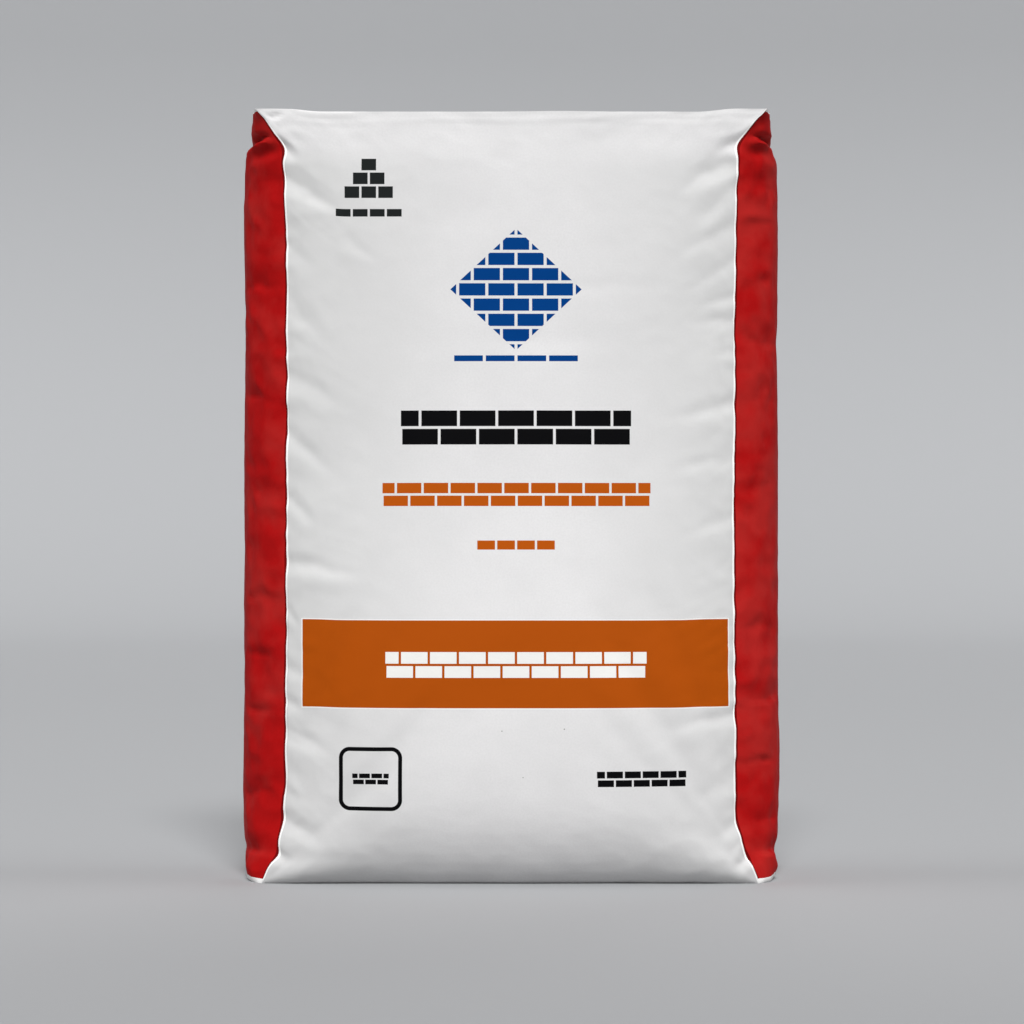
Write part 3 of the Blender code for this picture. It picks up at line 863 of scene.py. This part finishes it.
def sackPaper():
    # Bleached kraft sack paper, machine glazed and flexo printed: an even soft sheen, faint fibres and
    # cockle, thin even ink that leaves a bare white line along each fold, painted lighter as a highlight
    material, tree, shader = newMaterial("bleachedSackPaper")
    panel, girdle = sack["panelHalf"], sack["girdleHalf"]
    sheet = addNode(tree, "Attribute", {"attribute_name": "sheet"})["Vector"]
    place = addNode(tree, "SeparateXYZ", {}, {0: sheet})
    flat = addNode(tree, "CombineXYZ", {}, {"X": place["X"], "Y": place["Z"]})[0]
    mirrored = addNode(tree, "VectorMath", {"operation": "ABSOLUTE"}, {0: sheet})[0]
    parts = addNode(tree, "SeparateXYZ", {}, {0: mirrored})
    darker, lighter, cloudSize = sackFinish["paper"]
    fibreColour, fibreSize, fibreShare = sackFinish["fibres"]
    thick, thin, inkSize = sackFinish["red"]
    rubbedAndSheenColour, rubbedAndSheenSize, rubbedAndSheenShare = sackFinish["rubbedAndSheen"]
    clouds, fibres, ink, rubbedAndSheen = (
        addNode(tree, "TexNoise", {}, {"Vector": sheet, "Scale": 1 / size, "Detail": detail})["Fac"]
        for size, detail in ((cloudSize, 3.0), (fibreSize, 2.0), (inkSize, 4.0), (rubbedAndSheenSize, 5.0)))

    shade = addNode(tree, "MapRange", {}, {"Value": clouds, "From Min": 0.3, "From Max": 0.7})
    paper = layered(tree, linear(darker), linear(lighter), shade[0])
    fibres = addNode(tree, "MapRange", {},
                     {"Value": fibres, "From Min": 0.35, "From Max": 0.7, "To Max": fibreShare})
    paper = layered(tree, paper, linear(fibreColour), fibres[0])
    # Painted shade: the paper is greyed towards the folds, where the light falls off, less near the ends
    paintedFoldShadeColour, leastShadedAt, start = sackFinish["paintedFoldShade"]
    aside = addNode(tree, "Math", {"operation": "SUBTRACT"}, {0: place["X"], 1: leastShadedAt})[0]
    aside = addNode(tree, "Math", {"operation": "ABSOLUTE"}, {0: aside})[0]
    paintedFoldShade = [addNode(tree, "MapRange", {}, {"Value": aside, "From Min": start, "From Max": panel})]
    for low, high, least, most in sackFinish["paintedFoldShadeShares"]:
        paintedFoldShade.append(addNode(tree, "MapRange", {},
                               {"Value": parts["Z"], "From Min": low, "From Max": high,
                                "To Min": least, "To Max": most}))
    paper = layered(tree, paper, linear(paintedFoldShadeColour), *(node[0] for node in paintedFoldShade))

    foot, rise = sackFinish["redFoot"]
    rising = addNode(tree, "Math", {"operation": "MULTIPLY_ADD"},
                     {0: parts["Y"], 1: rise, 2: parts["Z"]})[0]
    bare, frontWidth, sideWidth = sackFinish["bare"]
    lipShadow, lipShadowWidth = sackFinish["lipShadow"]
    onFront, onSide, frontBareHighlight, sideBareHighlight, lipShadowLine, above, below = (
        addNode(tree, "Math", {"operation": operation}, {0: value, 1: limit})[0]
        for operation, value, limit in (
            ("LESS_THAN", place["Y"], 0.05 - girdle), ("GREATER_THAN", parts["X"], panel - 0.03),
            ("GREATER_THAN", parts["X"], panel - frontWidth), ("GREATER_THAN", parts["Y"], girdle - sideWidth),
            ("GREATER_THAN", parts["Y"], girdle - lipShadowWidth), ("GREATER_THAN", rising, foot + rise * girdle),
            ("LESS_THAN", parts["Z"], sack["height"] - sackFinish["redTop"])))
    front = layered(tree, paper, printedFront(tree, flat, paper), onFront)
    front = layered(tree, front, linear(bare), frontBareHighlight)

    # Lighter red patches on the sides: partly rubbed ink, partly a painted sheen of lit facets, more to the
    # right
    least, most, lean = sackFinish["rubbedAndSheenFrom"]
    rubbedAndSheen = addNode(tree, "Math", {"operation": "MULTIPLY_ADD"}, {0: place["X"], 1: lean, 2: rubbedAndSheen})[0]
    rubbedAndSheen = addNode(tree, "MapRange", {},
                     {"Value": rubbedAndSheen, "From Min": least, "From Max": most, "To Max": rubbedAndSheenShare})[0]
    red = layered(tree, linear(thick), linear(thin), ink)
    # The dark red beside the bare line is a painted shadow under the fold's lip
    for colour, mask in ((rubbedAndSheenColour, rubbedAndSheen), (lipShadow, lipShadowLine), (bare, sideBareHighlight)):
        red = layered(tree, red, linear(colour), mask)
    # Under and over the red the bare paper's light colour is also painted light on the shaded faces by the
    # ends
    red = layered(tree, linear(bare), red, above, below)

    smoothest, roughest = sackFinish["roughness"]
    gloss = addNode(tree, "MapRange", {}, {"Value": clouds, "To Min": smoothest, "To Max": roughest})
    setInputs(tree, shader, {"Base Color": layered(tree, front, red, onSide), "Roughness": gloss[0],
                             "Normal": paperBump(tree, sheet, 0.015, 0.10), "Specular IOR Level": 0.03})
    return material


def plainPaper(name, colours, size, levels, heights, roughness):
    # A paper without print, darker and lighter in clouds. heights are those of its fibres and its cockle
    material, tree, shader = newMaterial(name)
    place = inMillimetres(tree)
    clouds = addNode(tree, "TexNoise", {}, {"Vector": place, "Scale": 1 / size, "Detail": 4.0})["Fac"]
    tone = addNode(tree, "MapRange", {}, {"Value": clouds, "From Min": levels[0], "From Max": levels[1]})[0]
    colour = layered(tree, linear(colours[0]), linear(colours[1]), tone)
    setInputs(tree, shader, {"Base Color": colour, "Normal": paperBump(tree, place, *heights),
                             "Roughness": roughness, "Specular IOR Level": 0.2})
    return material


def patchPaper():
    # Unprinted bleached sack paper glued down flat: matt, a shade warmer, with the glue's damp cockle
    return plainPaper("gluedPatchPaper", ("#c6c5bf", "#d1d1cc"), 30.0, (0.3, 0.7), (0.02, 0.2), 0.7)


def kraftPaper():
    # Unbleached kraft: brown, matt, with darker and lighter fibres that show
    return plainPaper("unbleachedKraftPaper", ("#8a6238", "#b58a5c"), 1.2, (0, 1), (0.03, 0.15), 0.8)


def cementPowder():
    # Dry cement, settled: a dull grey with faint lumps, and grain too fine to see, drawn about 1 mm coarse
    material, tree, shader = newMaterial("settledCementPowder")
    place = inMillimetres(tree)
    lumps = addNode(tree, "TexNoise", {}, {"Vector": place, "Scale": 1 / 20.0, "Detail": 6.0})
    grain = addNode(tree, "TexNoise", {}, {"Vector": place, "Scale": 1.0, "Detail": 2.0})
    height = addNode(tree, "Math", {"operation": "MULTIPLY_ADD"},
                     {0: grain["Fac"], 1: 0.2, 2: lumps["Fac"]})
    bumped = addNode(tree, "Bump", {}, {"Height": height[0], "Distance": mm, "Strength": 0.8})
    colour = layered(tree, linear("#6f6f6b"), linear("#8d8c86"), lumps["Fac"])
    setInputs(tree, shader, {"Base Color": colour, "Normal": bumped["Normal"], "Roughness": 0.95,
                             "Specular IOR Level": 0.1})
    return material


studio = {
    "floorRadius": 5.0,
    "rimRadius": 1.6,
    "wallTop": 5.0,
    "floor": "#9fa0a2",
    "camera": (0.0008, -2.8, 0.305),
    "lens": 117.7,
    # name, direction it comes from, spread in degrees and strength: broad soft lamps far away
    "lights": (("key", (0.05, -1.0, 1.05), 20, 3.74), ("left", (-1.0, -0.1, 1.0), 24, 0.52),
               ("right", (1.0, -0.1, 1.0), 24, 0.52), ("back", (0.2, 1.0, 0.8), 30, 0.6)),
    "air": 0.104,  # brightness of the light from all round
}


def makeBackdrop():
    # A round floor whose rim bends up into a wall
    profile = bmesh.new()
    radius, bend = studio["floorRadius"], studio["rimRadius"]
    places = [(radius * share, 0) for share in np.linspace(0, 1, 6)]
    places += [(radius + bend * math.sin(angle), bend * (1 - math.cos(angle)))
               for angle in np.linspace(0, math.pi / 2, 12)[1:]]
    places.append((radius + bend, studio["wallTop"]))
    points = [profile.verts.new((x, 0, z)) for x, z in places]
    for first, second in zip(points, points[1:]):
        profile.edges.new((first, second))
    bmesh.ops.spin(profile, geom=[*profile.verts, *profile.edges], cent=(0, 0, 0), axis=(0, 0, 1),
                   angle=2 * math.pi, steps=96, use_merge=True)
    bmesh.ops.remove_doubles(profile, verts=profile.verts, dist=0.0001)
    bmesh.ops.recalc_face_normals(profile, faces=profile.faces)
    mesh = toMesh(profile, "studioFloor")
    mesh.shade_smooth()
    floor = addObject("studioFloor", mesh)
    material, tree, shader = newMaterial("paleBackdrop")
    setInputs(tree, shader, {"Base Color": linear(studio["floor"]), "Roughness": 0.9})
    mesh.materials.append(material)


def aim(thing, place, target):
    thing.location = place
    thing.rotation_mode = "QUATERNION"
    thing.rotation_quaternion = (Vector(target) - Vector(place)).to_track_quat("-Z", "Y")


def makeStudio():
    makeBackdrop()
    for name, place, spread, strength in studio["lights"]:
        light = bpy.data.lights.new(name, "SUN")
        light.angle = math.radians(spread)
        light.energy = strength
        aim(addObject(name, light), Vector(place) * 3, (0, 0, 0))
    world = bpy.data.worlds.new("studioAir")
    bpy.context.scene.world = world
    world.use_nodes = True
    world.node_tree.nodes["Background"].inputs["Color"].default_value = [studio["air"]] * 3 + [1]
    camera = bpy.data.cameras.new("camera")
    camera.lens = studio["lens"]
    camera.sensor_width = 36.0
    eye = addObject("camera", camera)
    aim(eye, studio["camera"], Vector(studio["camera"]) + Vector((0, 1, 0)))
    bpy.context.scene.camera = eye
    bpy.context.scene.view_settings.view_transform = "Standard"


def dress(piece, material, slot, *nodes):
    piece.data.materials.clear()
    piece.data.materials.append(material)
    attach(piece, "root")
    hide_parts(*nodes)


makeStudio()
sackPiece, cementPiece = makeSack()
dress(sackPiece, sackPaper(), "sack_paper", "sack_tube")
dress(cementPiece, cementPowder(), "cement_powder", "cement_fill")
glued = patchPaper()
dress(makePatch("topPatch", True), glued, "patch_paper", "top_patch")
dress(makePatch("bottomPatch", False), glued, "patch_paper", "bottom_patch")
dress(makeSleeve(), kraftPaper(), "sleeve_paper", "valve_sleeve")
print("patches, sleeve and cement in place")
